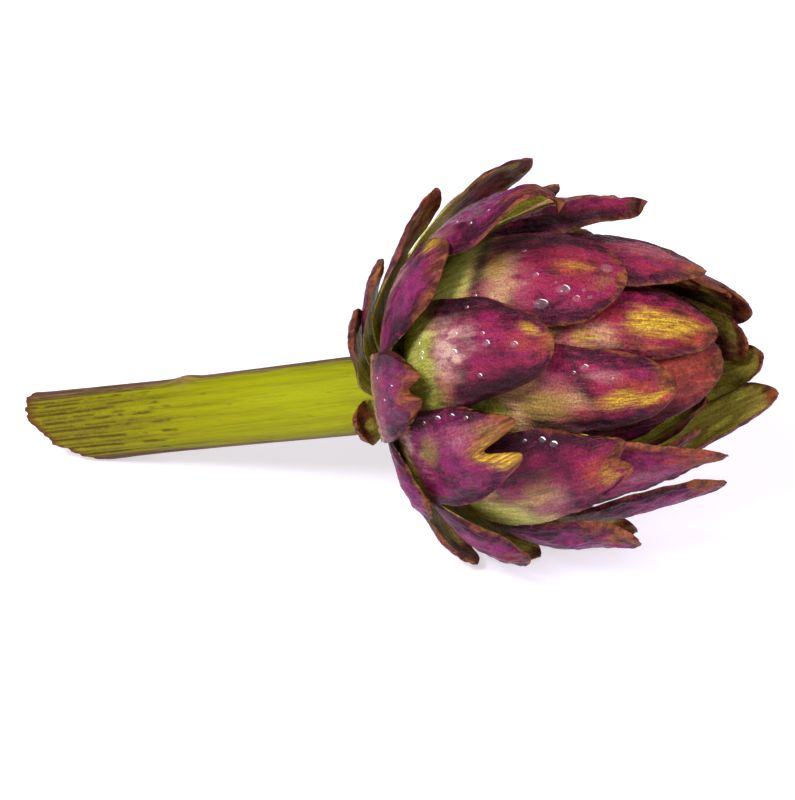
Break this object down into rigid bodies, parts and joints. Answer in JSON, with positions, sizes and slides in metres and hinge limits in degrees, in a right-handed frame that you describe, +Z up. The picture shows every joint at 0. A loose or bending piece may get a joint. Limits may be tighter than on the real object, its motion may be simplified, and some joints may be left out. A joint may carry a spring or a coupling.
{
  "type": "artichoke",
  "caption": "Fresh purple globe artichoke lying on its side: overlapping leathery bracts round a closed head on a thick cut green stem",
  "frame": {"origin": "on the table, below the middle of the whole artichoke", "axes": "+X from the cut end of the stem to the tip of the head, +Z up, -Y the near side"},
  "size_m": [0.1874, 0.0834, 0.0891],
  "materials": {
    "stem": "satin",
    "lower_bracts": "satin",
    "middle_bracts": "satin",
    "upper_bracts": "satin",
    "bud_bracts": "satin"
  },
  "bodies": {
    "root": {"bract_a1": "lower_bracts", "bract_a2": "lower_bracts", "bract_a3": "lower_bracts", "bract_a4": "lower_bracts", "bract_b1": "lower_bracts", "bract_b2": "lower_bracts", "bract_b3": "lower_bracts", "bract_b4": "lower_bracts", "bract_b5": "lower_bracts", "bract_b6": "lower_bracts", "bract_b7": "lower_bracts", "bract_b8": "lower_bracts", "bract_bud_1": "bud_bracts", "bract_bud_2": "bud_bracts", "bract_bud_3": "bud_bracts", "bract_bud_4": "bud_bracts", "bract_bud_5": "bud_bracts", "bract_bud_6": "bud_bracts", "bract_c1": "middle_bracts", "bract_c10": "middle_bracts", "bract_c2": "middle_bracts", "bract_c3": "middle_bracts", "bract_c4": "middle_bracts", "bract_c5": "middle_bracts", "bract_c6": "middle_bracts", "bract_c7": "middle_bracts", "bract_c8": "middle_bracts", "bract_c9": "middle_bracts", "bract_d1": "upper_bracts", "bract_d10": "upper_bracts", "bract_d11": "upper_bracts", "bract_d12": "upper_bracts", "bract_d2": "upper_bracts", "bract_d3": "upper_bracts", "bract_d4": "upper_bracts", "bract_d5": "upper_bracts", "bract_d6": "upper_bracts", "bract_d7": "upper_bracts", "bract_d8": "upper_bracts", "bract_d9": "upper_bracts", "bract_far_1a": "lower_bracts", "bract_far_1b": "lower_bracts", "bract_far_1c": "lower_bracts", "bract_far_2a": "lower_bracts", "bract_far_2b": "lower_bracts", "bract_far_3a": "lower_bracts", "bract_far_3b": "lower_bracts", "bract_far_4a": "middle_bracts", "bract_far_4b": "middle_bracts", "bract_far_5a": "middle_bracts", "bract_far_5b": "middle_bracts", "bract_far_6a": "upper_bracts", "bract_far_6b": "upper_bracts", "bract_far_7a": "upper_bracts", "bract_far_7b": "upper_bracts", "bract_rest_1": "lower_bracts", "bract_rest_2": "lower_bracts", "stem_and_heart": "stem"}
  },
  "joints": []
}
